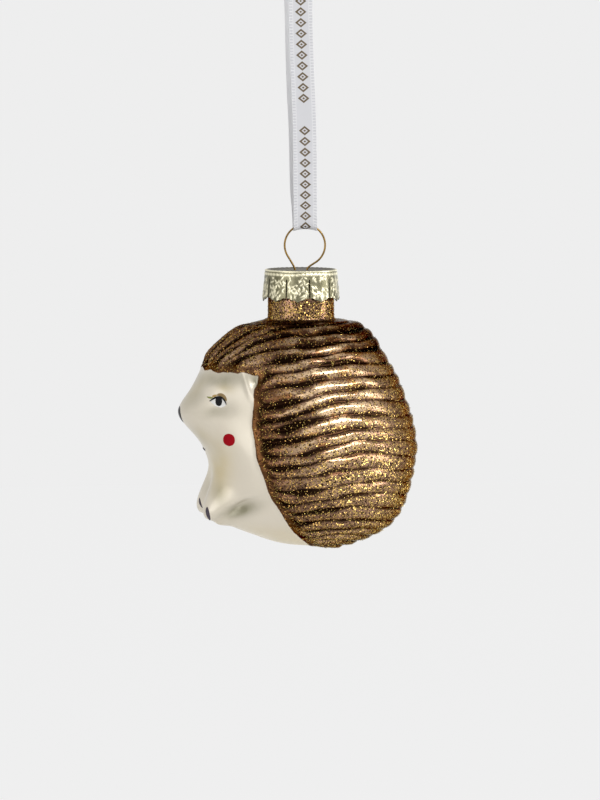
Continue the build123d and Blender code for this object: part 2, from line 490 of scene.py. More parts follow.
@dataclass(frozen=True)
class SatinFinish(Finish):
    """White satin band with dotted selvedges and a small gold lozenge print, in metres."""

    name: str = "white_satin"
    satin: Colour = (0.58, 0.58, 0.60, 1)
    selvedge: Colour = (0.68, 0.68, 0.69, 1)
    shadow: Colour = (0.40, 0.40, 0.44, 1)
    # The inside is painted lighter, as painted light on the face that the near ply shades
    inside: Colour = (0.67, 0.67, 0.68, 1)
    print_gold: Colour = (0.095, 0.06, 0.018, 1)
    length: float = 0.1476
    dot_pitch: float = 0.00075
    thread_pitch: float = 0.00022
    print_pitch: float = 0.00275
    marks: int = 12
    printed: int = 10

    def dress(self, work: Work) -> None:
        """Weaves and prints the band by its own UV map, u across it and v along it."""
        weave = work.apart(work.add("UVMap").outputs[0])
        across = work.fold(weave[0])
        along = work.times(weave[1], self.length)

        spot, face = work.apart(work.place()), work.apart(work.place("Normal"))
        outer = work.math("GREATER_THAN", work.times(spot[1], face[1]), 0.0)
        in_edge = work.times(work.step(across, 0.68, 0.74), work.step(across, 1.0, 0.95), outer)
        dots = work.step(work.wave(along, self.dot_pitch), -0.6, 0.6)
        cloth = work.blend(work.times(work.step(across, 0.6, 0.7), 0.85), self.satin, self.selvedge)
        cloth = work.blend(work.times(in_edge, work.minus(1.0, dots), 0.5), cloth, self.shadow)
        # Painted light: the inner face is lighter, to lift the shade that the near ply casts on it
        cloth = work.blend(outer, self.inside, cloth)

        down = work.fold(work.math("FRACT", work.math("DIVIDE", along, self.print_pitch)))
        lozenge = work.plus(work.times(across, 2.07), work.times(down, 1.15))
        rim = work.times(work.step(lozenge, 1.06, 0.98), work.step(lozenge, 0.5, 0.6))
        heart = work.step(lozenge, 0.3, 0.2)
        turn = work.math("FRACT", work.math("DIVIDE", along, self.print_pitch * self.marks))
        shown = work.math("LESS_THAN", turn, self.printed / self.marks)
        mark = work.times(work.math("MAXIMUM", rim, heart), work.times(shown, outer))
        threads = work.times(work.wave(along, self.thread_pitch), 0.3)
        work.set(
            Base_Color=work.blend(work.times(mark, 0.95), cloth, self.print_gold),
            Roughness=work.between(mark, 0.42, 0.35),
            Metallic=work.times(mark, 0.5),
            Normal=work.bump(work.plus(threads, work.times(dots, in_edge)), 0.35, 0.0001),
            Sheen_Weight=0.1,
            Sheen_Roughness=0.4,
            Subsurface_Weight=0.4,
            Subsurface_Radius=(1, 1, 1),
            Subsurface_Scale=0.0006,
        )


@dataclass(frozen=True)
class StageFinish(Finish):
    """Pale floor that shows the background's colour and keeps the object's shadow."""

    name: str = "pale_stage"
    shade: float = 0.855
    ambient: float = 0.46
    kept: float = 0.2

    def dress(self, work: Work) -> None:
        """Mixes a matt surface with a glow where it is seen, in place of the Principled shader."""
        work.tree.nodes.remove(work.shader)
        matt = work.add("BsdfDiffuse", {"Color": (self.shade, self.shade, self.shade, 1)})
        glow = (self.shade - self.kept * self.shade * self.ambient) / (1 - self.kept)
        shine = work.add("Emission", {"Color": (glow, glow, glow, 1), "Strength": 1.0})
        seen = work.times(work.seen(), 1 - self.kept)
        mixed = work.add("MixShader", {0: seen, 1: matt.outputs[0], 2: shine.outputs[0]})
        work.put(work.tree.nodes["Material Output"].inputs["Surface"], mixed.outputs[0])


@dataclass(frozen=True)
class Outline:
    """Smooth curve through (reach, drop) points, read by a share of its length from 0 to 1."""

    points: Points

    def at(self, share: Array) -> tuple[Array, Array]:
        """Reads the curve.

        Args:
            share: Places along the curve.

        Returns:
            Reach and drop at those places.
        """
        spots = np.array(self.points, float)
        knots = np.concatenate([[0], np.cumsum(np.hypot(*np.diff(spots, axis=0).T))])
        knots /= knots[-1]
        gaps = np.diff(knots)
        count = len(knots)
        system = np.eye(count)
        right = np.zeros((count, 2))
        slopes = np.diff(spots, axis=0) / gaps[:, None]
        for row in range(1, count - 1):
            system[row, row - 1:row + 2] = gaps[row - 1], 2 * (gaps[row - 1] + gaps[row]), gaps[row]
            right[row] = 6 * (slopes[row] - slopes[row - 1])
        bend = np.linalg.solve(system, right)
        share = np.clip(share, 0, 1)
        span = np.clip(np.searchsorted(knots, share) - 1, 0, count - 2)
        gap = gaps[span][:, None]
        low = (knots[span + 1] - share)[:, None] / gap
        high = 1 - low
        curved = (low**3 - low) * bend[span] + (high**3 - high) * bend[span + 1]
        value = low * spots[span] + high * spots[span + 1] + curved * gap**2 / 6
        return value[:, 0], value[:, 1]


@dataclass(frozen=True)
class Dent:
    """Soft oval swelling or hollow on both sides of the body, laid out in the side view, in millimetres."""

    x: float
    z: float
    long: float
    short: float
    turn: float
    rise: float

    def at(self, spots: Array) -> Array:
        """Height of the swelling at each spot."""
        cos, sin = math.cos(math.radians(self.turn)), math.sin(math.radians(self.turn))
        dx, dz = spots[:, 0] - self.x, spots[:, 2] - self.z
        return self.rise * bell((dx * cos + dz * sin) / self.long, (dz * cos - dx * sin) / self.short)


def pile(dents: tuple[Dent, ...], spots: Array) -> Array:
    """Heights of several dents together at each spot."""
    return sum(dent.at(spots) for dent in dents)


def pick(piece: Piece) -> None:
    """Makes a piece the active object and the only one selected."""
    bpy.ops.object.select_all(action="DESELECT")
    piece.select_set(True)
    bpy.context.view_layer.objects.active = piece


def named(name: str) -> Piece:
    """Names the active object and its data, and returns it."""
    piece = bpy.context.object
    piece.name = piece.data.name = name
    return piece


def link(name: str, data: bpy.types.ID) -> Piece:
    """Adds an object with that data to the scene."""
    piece = bpy.data.objects.new(name, data)
    bpy.context.scene.collection.objects.link(piece)
    return piece


def read(items: bpy.types.bpy_prop_collection, name: str, width: int = 1, kind: type = float) -> Array:
    """Reads one property of all items, with a row for each item if it is wider than 1."""
    values = np.zeros(len(items) * width, kind)
    items.foreach_get(name, values)
    return values.reshape(-1, width) if width > 1 else values


def move(piece: Piece, spots: Array) -> None:
    """Puts a piece's vertices at those positions."""
    piece.data.vertices.foreach_set("co", np.ascontiguousarray(spots, np.float32).ravel())
    piece.data.update()


def store(piece: Piece, name: str, values: Array) -> None:
    """Keeps one value per vertex as an attribute of the mesh."""
    layer = piece.data.attributes.new(name, "FLOAT", "POINT")
    layer.data.foreach_set("value", np.ascontiguousarray(values, np.float32))


def finish_mesh(piece: Piece, material: Material, body: Body, angle: float = 180) -> None:
    """Shades a piece, gives it its material and lets it ride on its body."""
    pick(piece)
    bpy.ops.object.shade_smooth_by_angle(angle=math.radians(angle))
    piece.data.materials.clear()
    piece.data.materials.append(material)
    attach(piece, body.value)
    LOG.info("%s: %d faces", piece.name, len(piece.data.polygons))


def thicken(piece: Piece, thickness: float, offset: float = -1) -> None:
    """Gives a sheet its thickness in millimetres, inwards from its faces unless the offset says otherwise."""
    pick(piece)
    modifier = piece.modifiers.new("solidify", "SOLIDIFY")
    modifier.thickness, modifier.offset = thickness * MM, offset
    bpy.ops.object.modifier_apply(modifier=modifier.name)


def grid(name: str, across: int, along: int) -> tuple[Piece, Array, Array]:
    """Adds a square grid.

    Args:
        name: Name of the piece.
        across: Faces along its first side.
        along: Faces along its second side.

    Returns:
        The piece, and each vertex's shares along both sides.
    """
    bpy.ops.mesh.primitive_grid_add(x_subdivisions=across, y_subdivisions=along, size=1)
    piece = named(name)
    flat = read(piece.data.vertices, "co", 3) + 0.5
    return piece, flat[:, 0], flat[:, 1]


def edit(piece: Piece) -> None:
    """Merges doubled vertices and turns all faces outwards."""
    pick(piece)
    bpy.ops.object.mode_set(mode="EDIT")
    bpy.ops.mesh.select_all(action="SELECT")
    bpy.ops.mesh.remove_doubles(threshold=2e-6)
    bpy.ops.mesh.normals_make_consistent(inside=False)
    bpy.ops.object.mode_set(mode="OBJECT")


def draw(name: str, points: list, order: int, resolution: int, **settings) -> Piece:
    """Draws a smooth curve.

    Args:
        name: Name of the curve.
        points: Control points in millimetres.
        order: Order of the spline.
        resolution: Steps between two control points.
        settings: Other attributes of the curve.

    Returns:
        The curve.
    """
    curve = bpy.data.curves.new(name, "CURVE")
    curve.dimensions = "3D"
    for key, value in settings.items():
        setattr(curve, key, value)
    spline = curve.splines.new("NURBS")
    spline.points.add(len(points) - 1)
    for point, (x, y, z) in zip(spline.points, points):
        point.co = (x * MM, y * MM, z * MM, 1)
    spline.order_u, spline.use_endpoint_u, spline.resolution_u = order, True, resolution
    return link(name, curve)


@dataclass
class GlassBody:
    """Hollow hedgehog with its neck, in millimetres from the neck's foot, and the glitter on its coat."""

    neck_z: float
    segments: int = 416
    neck_rows: int = 22
    body_rows: int = 208
    neck_radius: float = 8.45
    bore_radius: float = 7.25
    neck_height: float = 12.7
    bore_depth: float = 5.0
    body_height: float = 57.6
    front_reach: float = 31.4
    rear_reach: float = 29.0
    half_width: float = 25.7
    base_shift: float = 2.0
    first_level: float = 0.035
    ridge_count: int = 22
    ridge_span: tuple[float, float] = (0.03, 0.93)
    ridge_height: float = 0.85
    coat_raise: float = 0.3
    hairline: float = -11.9
    hairline_slope: float = 0.05
    coat_centre: tuple[float, float] = (28.0, -24.0)
    coat_radius: float = 42.5
    flank_rise: float = 0.07
    flakes: int = 32000
    flake_radius: tuple[float, float] = (0.055, 0.11)
    flake_tilt: float = 0.28
    flake_shift: float = 0.25
    flake_lift: float = 0.03
    flake_corners: int = 6
    seed: int = 7
    front: Outline = field(init=False)
    rear: Outline = field(init=False)
    flank: Outline = field(init=False)
    # Feet and ears: level, turn in degrees, swelling and spread
    swellings: tuple[tuple[float, ...], ...] = (
        (0.7, 160, 6.0, 4.6), (0.755, 155, 2.0, 3.4), (0.2, 130, 1.2, 3.0),
    )
    # Features of the face
    dents: tuple[Dent, ...] = (
        Dent(-22.9, -20.6, 4.2, 2.6, 10, -0.9),
        Dent(-24.2, -16.9, 2.6, 1.5, 35, 0.5),
        Dent(-20.4, -29.5, 6.0, 5.0, 0, 0.6),
        Dent(-15.3, -15.5, 0.9, 3.4, 12, 0.7),
        Dent(-13.5, -14.4, 0.9, 2.2, 12, -1.1),
        Dent(-17.6, -46.3, 4.2, 1.2, 26, -1.3),
        Dent(-21.8, -42.0, 2.2, 3.6, 0, -0.6),
    )
    # Painted shade pooled in the coat's valleys
    shade_pools: tuple[Dent, ...] = (
        Dent(-5.2, -23.4, 4.6, 1.3, 6, 0.75),
        Dent(-4.4, -27.6, 5.6, 1.2, 8, 0.65),
        Dent(-11.6, -31.5, 2.4, 1.3, 0, 0.5),
        Dent(1.5, -8.2, 8.0, 0.9, -6, 0.4),
        Dent(3.0, -45.5, 6.0, 1.0, 4, 0.35),
    )
    # Olive airbrush of the face, with painted shade in its hollows and on the cheek, and a painted highlight
    # on the brow
    olive_and_painted_shade: tuple[Dent, ...] = (
        # Painted shade in the eye socket
        Dent(-23.2, -22.2, 3.6, 1.5, 12, 0.42),
        Dent(-21.5, -14.2, 7.0, 2.2, 10, 0.6),
        Dent(-28.5, -19.0, 4.0, 2.0, 45, 0.42),
        # Painted shadow in the crease above the leg
        Dent(-17.2, -47.3, 4.6, 1.7, 22, 0.95),
        # Painted shade in the hollow above the paws
        Dent(-22.0, -42.9, 1.8, 2.8, -10, 0.6),
        # Painted shade in the ear's recess
        Dent(-13.5, -14.4, 0.9, 2.2, 12, 0.7),
        Dent(-22.5, -36.0, 1.6, 5.0, 0, 0.25),
        Dent(-26.2, -29.4, 4.0, 1.8, -48, 0.36),
        Dent(-20.9, -16.0, 1.6, 1.1, 0, 0.25),
        # Painted shade over the lamp-lit cheek
        Dent(-16.5, -24.0, 4.5, 7.0, 0, 0.1),
        # Painted highlight on the brow, as a negative shade
        Dent(-23.6, -16.9, 2.4, 1.5, 0, -0.5),
    )
    # Warm tan of the face
    warms: tuple[Dent, ...] = (
        Dent(-22.0, -36.6, 2.8, 6.0, 0, 0.5),
        Dent(-28.0, -17.5, 5.0, 1.2, 50, 0.25),
        Dent(-20.9, -16.3, 1.9, 1.2, 0, 0.28),
        Dent(-26.0, -28.6, 3.0, 1.6, -48, 0.2),
    )

    def __post_init__(self) -> None:
        """Lays out the three outlines in millimetres."""
        join = ((0.8, -0.005), (1.1, 0.002))
        front = (
            (0.42, 0.026), (0.55, 0.06), (0.675, 0.114), (0.8, 0.2), (0.914, 0.314), (1.0, 0.4),
            (0.89, 0.493), (0.785, 0.575), (0.735, 0.66), (0.72, 0.74), (0.72, 0.81), (0.64, 0.885),
            (0.44, 0.94), (0.2, 0.985), (-0.06, 1.0),
        )
        rear = (
            (0.43, 0.014), (0.587, 0.053), (0.707, 0.145), (0.823, 0.245), (0.913, 0.359), (0.985, 0.48),
            (1.0, 0.595), (0.967, 0.69), (0.893, 0.819), (0.773, 0.902), (0.557, 0.964), (0.27, 0.996),
            (0.067, 1.0),
        )
        flank = (
            (0.55, 0.043), (0.755, 0.138), (0.868, 0.241), (0.955, 0.359), (1.0, 0.517), (0.98, 0.655),
            (0.906, 0.776), (0.736, 0.879), (0.49, 0.948), (0.226, 0.991), (0.0, 1.0),
        )

        def outline(shares: Points, reach: float) -> Outline:
            """One outline in millimetres, begun inside the neck."""
            start = math.copysign(self.neck_radius, reach)
            points = [(share * start, drop) for share, drop in join]
            points += [(share * reach, drop) for share, drop in shares]
            return Outline(tuple((x, -drop * self.body_height) for x, drop in points))

        self.front = outline(front, -self.front_reach)
        self.rear = outline(rear, self.rear_reach)
        self.flank = outline(flank, self.half_width)

    def skin(self, level: Array, turn: Array) -> Array:
        """Smooth body.

        Args:
            level: Shares from the neck to the lowest point.
            turn: Angles from the rear over the flank to the front.

        Returns:
            Positions.
        """
        tall, cos, sin = self.body_height, np.cos(turn), np.sin(turn)
        comb = 0.08 * np.sin(2 * np.pi * level) + 0.03 * np.sin(np.pi * level)
        front_x, front_z = self.front.at(level + comb)
        rear_x, rear_z = self.rear.at(level)
        lean = self.flank_rise * cos * sin**2 * np.sin(np.pi * level)
        flank_y, flank_z = self.flank.at(level - lean)
        flank_x = self.base_shift * np.clip(-flank_z / tall, 0, 1)
        pinch = 1 + 0.6 * bell((front_z + 0.4 * tall) / (0.12 * tall))
        back = cos > 0
        end_x, end_z = np.where(back, rear_x, front_x), np.where(back, rear_z, front_z)
        x = flank_x + (end_x - flank_x) * np.abs(cos) ** np.where(back, 1, pinch)
        return np.stack([x, flank_y * sin, flank_z + (end_z - flank_z) * cos**2], axis=1)

    def coat_edge(self, spots: Array) -> Array:
        """Distance inside the coat's edge, negative on the face."""
        x, y, z = spots.T
        inside = self.coat_radius - np.hypot(x - self.coat_centre[0], z - self.coat_centre[1])
        brow = self.hairline - self.hairline_slope * np.abs(y)
        fringe = 0.2 * np.sin(y * 1.1) + 0.06 * np.sin(y * 2.9 + 1)
        return np.maximum(inside + 0.15 * np.sin(z * 0.7), z - brow + fringe)

    def flow(self, spots: Array, level: Array) -> Array:
        """Ridge number at each spot: level rounds behind, strands combed down to the brow in front."""
        x, y, z = spots.T
        middle = -0.5 * self.body_height
        ladder = np.linspace(0.0, 0.6, 200)
        side_y, side_z = self.flank.at(ladder)
        angles = np.arctan2(side_y, side_z - middle)
        angle = np.arctan2(np.abs(y), z - middle)
        strand = np.interp(angle, angles, ladder)
        strand = np.where(angle < angles[0], (angle - angles[0]) * 0.42, strand)
        crown = smooth(0.0, -12.0, x) * smooth(-24.0, -13.0, z)
        first, last = self.ridge_span
        number = (level + (strand - level) * crown - first) / (last - first) * self.ridge_count
        side = np.tanh(y / 6.0)
        number += 0.04 * np.sin(x * 0.23 + side * 1.3 + z * 0.19)
        number += 0.04 * np.sin(x * 0.61 + z * 0.37 + side)
        return number + 0.11 * np.sin(number * 1.7 + x * 0.12 + side)

    def valley_shading(self, spots: Array, number: Array) -> Array:
        """How wide and dark the painted shade in each valley lies, in long patches and in pooled spots."""
        x, y, _ = spots.T
        valley = np.rint(number)
        patch = np.sin(x * 0.31 + valley * 2.4) + 0.5 * np.sin(x * 0.73 + valley * 4.1 + y * 0.2)
        return 0.62 * smooth(-1.0, 1.0, patch) * smooth(24.0, 12.0, x) + pile(self.shade_pools, spots)

    def feet_and_ears(self, spots: Array) -> Array:
        """Height of the swellings at the feet and ears."""
        rise = np.zeros(len(spots))
        for level, turn, swell, spread in self.swellings:
            for side in (1, -1):
                middle = self.skin(np.array([level]), np.array([side * math.radians(turn)]))
                rise += swell * bell(np.linalg.norm(spots - middle, axis=1) / spread)
        return rise

    def build(self, material: Material) -> Piece:
        """Shapes a sphere into the glass, from the bore over the rim and neck to the lowest point.

        Args:
            material: Lacquer.

        Returns:
            The glass.
        """
        rows = self.neck_rows + self.body_rows
        bpy.ops.mesh.primitive_uv_sphere_add(segments=self.segments, ring_count=rows, radius=1)
        piece = named("hedgehog_glass")
        x, y, z = read(piece.data.vertices, "co", 3).T
        turn = np.arctan2(y, x)
        row = np.rint(np.arccos(np.clip(z, -1, 1)) / np.pi * rows)

        share = np.clip((row - self.neck_rows) / self.body_rows, 0, 1)
        level = self.first_level + (1 - self.first_level) * share
        skin = self.skin(level, turn)
        x, y, _ = skin.T
        edge = self.coat_edge(skin)
        face = 1 - smooth(-0.4, 2.6, edge)
        number = self.flow(skin, level)
        # Round ridges with narrow valleys at whole numbers
        height = 1 - np.abs(2 * (number - np.floor(number)) - 1) ** 2.1
        fade = smooth(0.6, 3.2, edge) * smooth(1.0, 0.93, level) * smooth(self.first_level, 0.07, level)
        ridge_share_and_highlight_zone = 1 - 0.42 * smooth(8.0, 24.0, x)
        ridge_share_and_highlight_zone *= 0.8 + 0.2 * np.sin(x * 0.41 + np.floor(number) * 2.6 + 0.1 * y)
        rise = smooth(-0.7, 0.5, edge) * self.coat_raise + fade * ridge_share_and_highlight_zone * self.ridge_height * height
        rise += self.feet_and_ears(skin)
        rise += pile(self.dents, skin) * face * smooth(1.0, 5.0, np.abs(y))
        out = unit(skin + np.array([0, 0, self.body_height / 2]))
        spots = skin + out * (rise * smooth(1.0, 0.97, level))[:, None]

        on_neck, foot = row <= self.neck_rows, row == self.neck_rows
        spots[on_neck] = self.neck(row[on_neck], turn[on_neck], turn[foot], spots[foot])
        move(piece, (spots + np.array([0, 0, self.neck_z])) * MM)

        gilt_and_painted_light = self.gilding_and_painted_light(spots)
        glitter = 0.38 + 0.24 * gilt_and_painted_light + 0.1 * height - 0.05 * smooth(2.4, 0.4, edge)
        valley_shade = self.valley_shading(spots, number) * (1 - 0.4 * gilt_and_painted_light)
        warm = 0.6 * smooth(-49.0, -57.0, spots[:, 2]) + pile(self.warms, spots)
        store(piece, "coat", np.where(on_neck, 4.0, edge))
        store(piece, "rise", np.where(on_neck, 0.75, height * fade + 0.45 * (1 - fade)))
        store(piece, "gilt_and_painted_light", gilt_and_painted_light)
        store(piece, "painted_highlight", self.painted_highlight_zone(spots))
        store(piece, "glitter", np.where(on_neck, 0.85, glitter))
        store(piece, "valley_shade", np.where(on_neck, 0, valley_shade))
        store(piece, "shade", np.clip(pile(self.olive_and_painted_shade, spots), 0, 0.85) * face)
        store(piece, "warm", np.clip(warm, 0, 0.7) * face)
        edit(piece)
        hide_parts("glass_body")
        finish_mesh(piece, material, Body.GLASS)
        return piece

    def neck(self, row: Array, turn: Array, foot_turn: Array, foot: Array) -> Array:
        """Lays the rows from the bore's floor over the rim to the neck's foot.

        Args:
            row: Row numbers, 0 in the middle of the bore's floor.
            turn: Angles about the neck.
            foot_turn: Angles of the row where the body begins.
            foot: Positions of that row.

        Returns:
            Positions.
        """
        bore, wall, top, floor = self.bore_radius, self.neck_radius, self.neck_height, -self.bore_depth
        stations, radii, heights = np.array([
            (0, 0, floor), (0.1, bore - 0.4, floor), (0.14, bore, floor + 0.4), (0.3, bore, top - 0.4),
            (0.34, bore + 0.15, top - 0.1), (0.36, (wall + bore) / 2, top), (0.38, wall - 0.15, top - 0.1),
            (0.42, wall, top - 0.4), (0.85, wall, 1.0), (0.93, wall + 0.25, 0.35),
        ]).T
        share = row / self.neck_rows
        radius, height = np.interp(share, stations, radii), np.interp(share, stations, heights)
        last = np.clip((share - stations[-1]) / (1 - stations[-1]), 0, 1)
        foot_radius = np.interp(turn, foot_turn, np.hypot(foot[:, 0], foot[:, 1]), period=2 * np.pi)
        foot_height = np.interp(turn, foot_turn, foot[:, 2], period=2 * np.pi)
        return around(radius + (foot_radius - radius) * last, turn, height + (foot_height - height) * last)

    def gilding_and_painted_light(self, spots: Array) -> Array:
        """How gilded the coat is, with painted light and shade: dark on the crown and beside the face, bright
        behind.
        """
        x, _, z = spots.T
        body = smooth(-14.0, 10.0, x) * smooth(-3.0, -15.0, z)
        body *= 1 - 0.38 * smooth(-36.0, -50.0, z) * smooth(18.0, 4.0, x)
        body *= 1 - 0.4 * smooth(6.0, 16.0, x) * smooth(-34.0, -16.0, z)
        body *= 1 - 0.15 * smooth(17.0, 28.0, x)
        body += 0.36 * smooth(-6.0, -14.0, x) * smooth(-15.0, -9.0, z)
        body += 0.42 * smooth(-49.0, -56.0, z)
        return np.where(z > 0.5, 0.6, body)

    def painted_highlight_zone(self, spots: Array) -> Array:
        """Painted highlight: how much cream is painted over the ridge tops on the shoulders of both flanks.
        """
        x, _, z = spots.T
        patch = 1.25 * bell((x - 4.0) / 11.0, (z + 19.0) / 14.0) * smooth(-13.0, -4.0, x)
        patch += 0.4 * bell((x + 17.0) / 5.0, (z + 9.5) / 3.5)
        return np.where(z > 0.5, 0, np.minimum(patch, 1))

    def scatter(self, glass: Piece, material: Material) -> None:
        """Sows loose glitter flakes over the coat, as one piece.

        Args:
            glass: Finished glass.
            material: Glitter.
        """
        dice = np.random.default_rng(self.seed)
        mesh, count = glass.data, self.flakes
        faces = mesh.polygons
        centres, normals = read(faces, "center", 3), read(faces, "normal", 3)
        local = centres / MM - np.array([0, 0, self.neck_z])
        x, y, z = local.T
        first = read(faces, "loop_start", kind=np.int32)
        corner = read(mesh.loops, "vertex_index", kind=np.int32)[first]
        rise = read(mesh.attributes["rise"].data, "value", kind=np.float32)[corner]
        # More loose flakes are sown where the coat's painted light lies
        chance = (0.38 + 0.62 * self.gilding_and_painted_light(local)) * (0.35 + 0.65 * rise)
        edge = np.where(z > -1, 6.0, self.coat_edge(local))
        chance *= smooth(0.2, 0.8, edge) * (1 + 1.2 * smooth(5.0, 1.0, edge))
        # Fewer loose flakes under the painted highlight
        chance *= 1 - 0.65 * self.painted_highlight_zone(local)
        outside = np.hypot(x, y) > self.neck_radius - 0.1
        chance *= np.where(z > -0.5, outside & (z < 6.0), True)
        weight = read(faces, "area") * chance
        picks = dice.choice(len(faces), count, p=weight / weight.sum())
        normal = unit(normals[picks] + dice.normal(0, self.flake_tilt, (count, 3)))
        across = unit(np.cross(normal, dice.normal(0, 1, (count, 3))))
        beside = np.cross(normal, across)
        middle = centres[picks] + normals[picks] * self.flake_lift * MM
        for line in (across, beside):
            middle += line * dice.uniform(-self.flake_shift, self.flake_shift, (count, 1)) * MM
        radius = dice.uniform(*self.flake_radius, (count, 1)) * MM
        corners = self.flake_corners
        angles = [step * 2 * math.pi / corners for step in range(corners)]
        rims = [middle + radius * (math.cos(angle) * across + math.sin(angle) * beside) for angle in angles]
        sheet = bpy.data.meshes.new("glitter")
        spots = np.stack(rims, axis=1).reshape(-1, 3)
        sheet.from_pydata(spots.tolist(), [], np.arange(corners * count).reshape(-1, corners).tolist())
        piece = link("glitter", sheet)
        store(piece, "tone", np.repeat(dice.random(count) ** 2, corners))
        finish_mesh(piece, material, Body.GLASS, 1)


@dataclass(frozen=True)
class Mark:
    """A painted mark in millimetres: a line if it has a width, else a dab.

    Its points are along the line or round the dab's edge: x and z from its centre, or y and z on the front.
    It starts at a lift over the glass, to lie on another mark.
    """

    name: str
    paint: str
    centre: tuple[float, float]
    points: Points
    width: float = 0.0
    lift: float = 0.0
    front: bool = False


@dataclass
class FacePaint:
    """Eyes, nose, mouth, cheeks and claws, painted on the glass in thin marks."""

    neck_z: float
    glass: Piece
    groups: Groups
    thickness: float = 0.09
    sheet: float = 0.12
    clearance: float = 0.01
    start: float = 60.0
    rings: int = 6
    spokes: int = 40
    tree: BVHTree = field(init=False)
    paints: dict[str, Material] = field(init=False)
    finishes: tuple[PaintFinish, ...] = (
        PaintFinish("black_paint", (0.004, 0.004, 0.005, 1), (0.01, 0.01, 0.012, 1), 0.22),
        PaintFinish("white_paint", (0.82, 0.81, 0.78, 1), (0.72, 0.71, 0.68, 1)),
        PaintFinish("brown_paint", (0.22, 0.15, 0.07, 1), (0.32, 0.23, 0.11, 1), 0.4),
        PaintFinish("tan_paint", (0.42, 0.28, 0.11, 1), (0.50, 0.36, 0.17, 1), 0.4),
        PaintFinish("olive_paint", (0.22, 0.24, 0.07, 1), (0.32, 0.32, 0.13, 1), 0.4),
        PaintFinish("red_paint", (0.35, 0.0005, 0.008, 1), (0.29, 0.0005, 0.006, 1), 0.35),
        PaintFinish("claw_paint", (0.055, 0.045, 0.06, 1), (0.10, 0.085, 0.10, 1), 0.35),
    )
    pairs: tuple[Mark, ...] = (
        Mark("eye_shade", "brown_paint", EYE, ((-0.3, 1.6), (0.6, 1.8), (1.4, 1.3), (1.95, 0.35)), 0.95),
        Mark("eye_glow", "tan_paint", EYE, ((-1.4, 1.2), (-0.9, 1.45), (-0.2, 1.75)), 0.6),
        Mark("eye_tick", "olive_paint", EYE, ((-2.6, 1.15), (-1.9, 0.95), (-1.2, 1.0)), 0.5),
        Mark("eye_white", "white_paint", EYE, (
            (1.8, -0.6), (1.15, 0.6), (0.2, 1.1), (-0.9, 0.75),
            (-1.75, 0.0), (-1.2, -0.6), (-0.4, -1.18), (0.9, -1.3),
        ), lift=0.02),
        Mark("eye_pupil", "black_paint", EYE, (
            (1.0, 0.15), (0.8, 0.9), (0.2, 1.25), (-0.4, 0.9),
            (-0.62, 0.15), (-0.42, -0.7), (0.2, -1.05), (0.8, -0.7),
        ), lift=0.1),
        Mark("eye_lid", "black_paint", EYE, (
            (-1.95, 0.05), (-0.95, 0.8), (0.2, 1.25), (1.2, 0.85), (1.95, -0.6),
        ), 0.5, 0.14),
        Mark("cheek", "red_paint", (-20.2, -28.95), (
            (1.36, 0.0), (1.0, 1.12), (0.0, 1.58), (-1.0, 1.12),
            (-1.36, 0.0), (-1.0, -1.12), (0.0, -1.58), (1.0, -1.12),
        )),
        Mark("outer_claw", "claw_paint", (0, 0), ((-25.1, -46.5), (-25.0, -48.2), (-24.3, -50.0)), 0.9),
        Mark("inner_claw", "claw_paint", (0, 0), ((6.0, -45.9), (5.7, -47.0), (5.3, -48.4)), 0.9, front=True),
    )
    singles: tuple[Mark, ...] = (
        Mark("nose", "black_paint", (0, -23.8), (
            (2.4, 0.2), (1.6, 1.7), (0.0, 2.1), (-1.6, 1.7),
            (-2.4, 0.2), (-1.5, -1.6), (0.0, -2.1), (1.5, -1.6),
        )),
        Mark("mouth", "claw_paint", (0, -33.0), (
            (2.2, 0.6), (1.3, 0.3), (0.0, 0.05), (-1.3, 0.3),
            (-2.2, 0.6), (-1.3, 0.0), (0.0, -0.22), (1.3, 0.0),
        )),
    )

    def __post_init__(self) -> None:
        """Prepares the glass to lay paint on, and the paints."""
        self.tree = BVHTree.FromObject(self.glass, bpy.context.evaluated_depsgraph_get())
        self.paints = {finish.name: finish.make(self.groups) for finish in self.finishes}

    def lay(self, point: Vector, side: Side, lift: float) -> Vector:
        """Lands a point on the glass along a side's direction, lifted off the surface."""
        push = Vector(side.value)
        hit, normal, _, _ = self.tree.ray_cast(point - push * (self.start * MM), push)
        if hit is None:
            hit, normal, _, _ = self.tree.find_nearest(point)
        return hit + normal * (lift * MM)

    def dab(self, name: str, points: Array) -> tuple[Piece, Array, Array]:
        """Shapes a filled dab.

        Args:
            name: Name of the piece.
            points: Control points round its edge.

        Returns:
            The piece, its vertices' places in the side's view and their shares of the thickness.
        """
        bpy.ops.mesh.primitive_circle_add(vertices=self.spokes, radius=1, fill_type="TRIFAN")
        piece = named(name)
        bpy.ops.object.mode_set(mode="EDIT")
        bpy.ops.mesh.select_all(action="SELECT")
        bpy.ops.mesh.subdivide(number_cuts=self.rings)
        bpy.ops.object.mode_set(mode="OBJECT")
        x, y, _ = read(piece.data.vertices, "co", 3).T
        share = np.minimum(np.hypot(x, y), 1)
        angle = np.mod(np.arctan2(y, x), 2 * np.pi) / (2 * np.pi) * len(points)
        first = np.floor(angle).astype(int)
        part = (angle - first)[:, None]
        before, here, after, beyond = (points[(first + step) % len(points)] for step in (-1, 0, 1, 2))
        rim = 0.5 * (
            2 * here + (after - before) * part
            + (2 * before - 5 * here + 4 * after - beyond) * part**2
            + (3 * here - before - 3 * after + beyond) * part**3
        )
        middle = points.mean(axis=0)
        return piece, middle + (rim - middle) * share[:, None], 1 - share**6

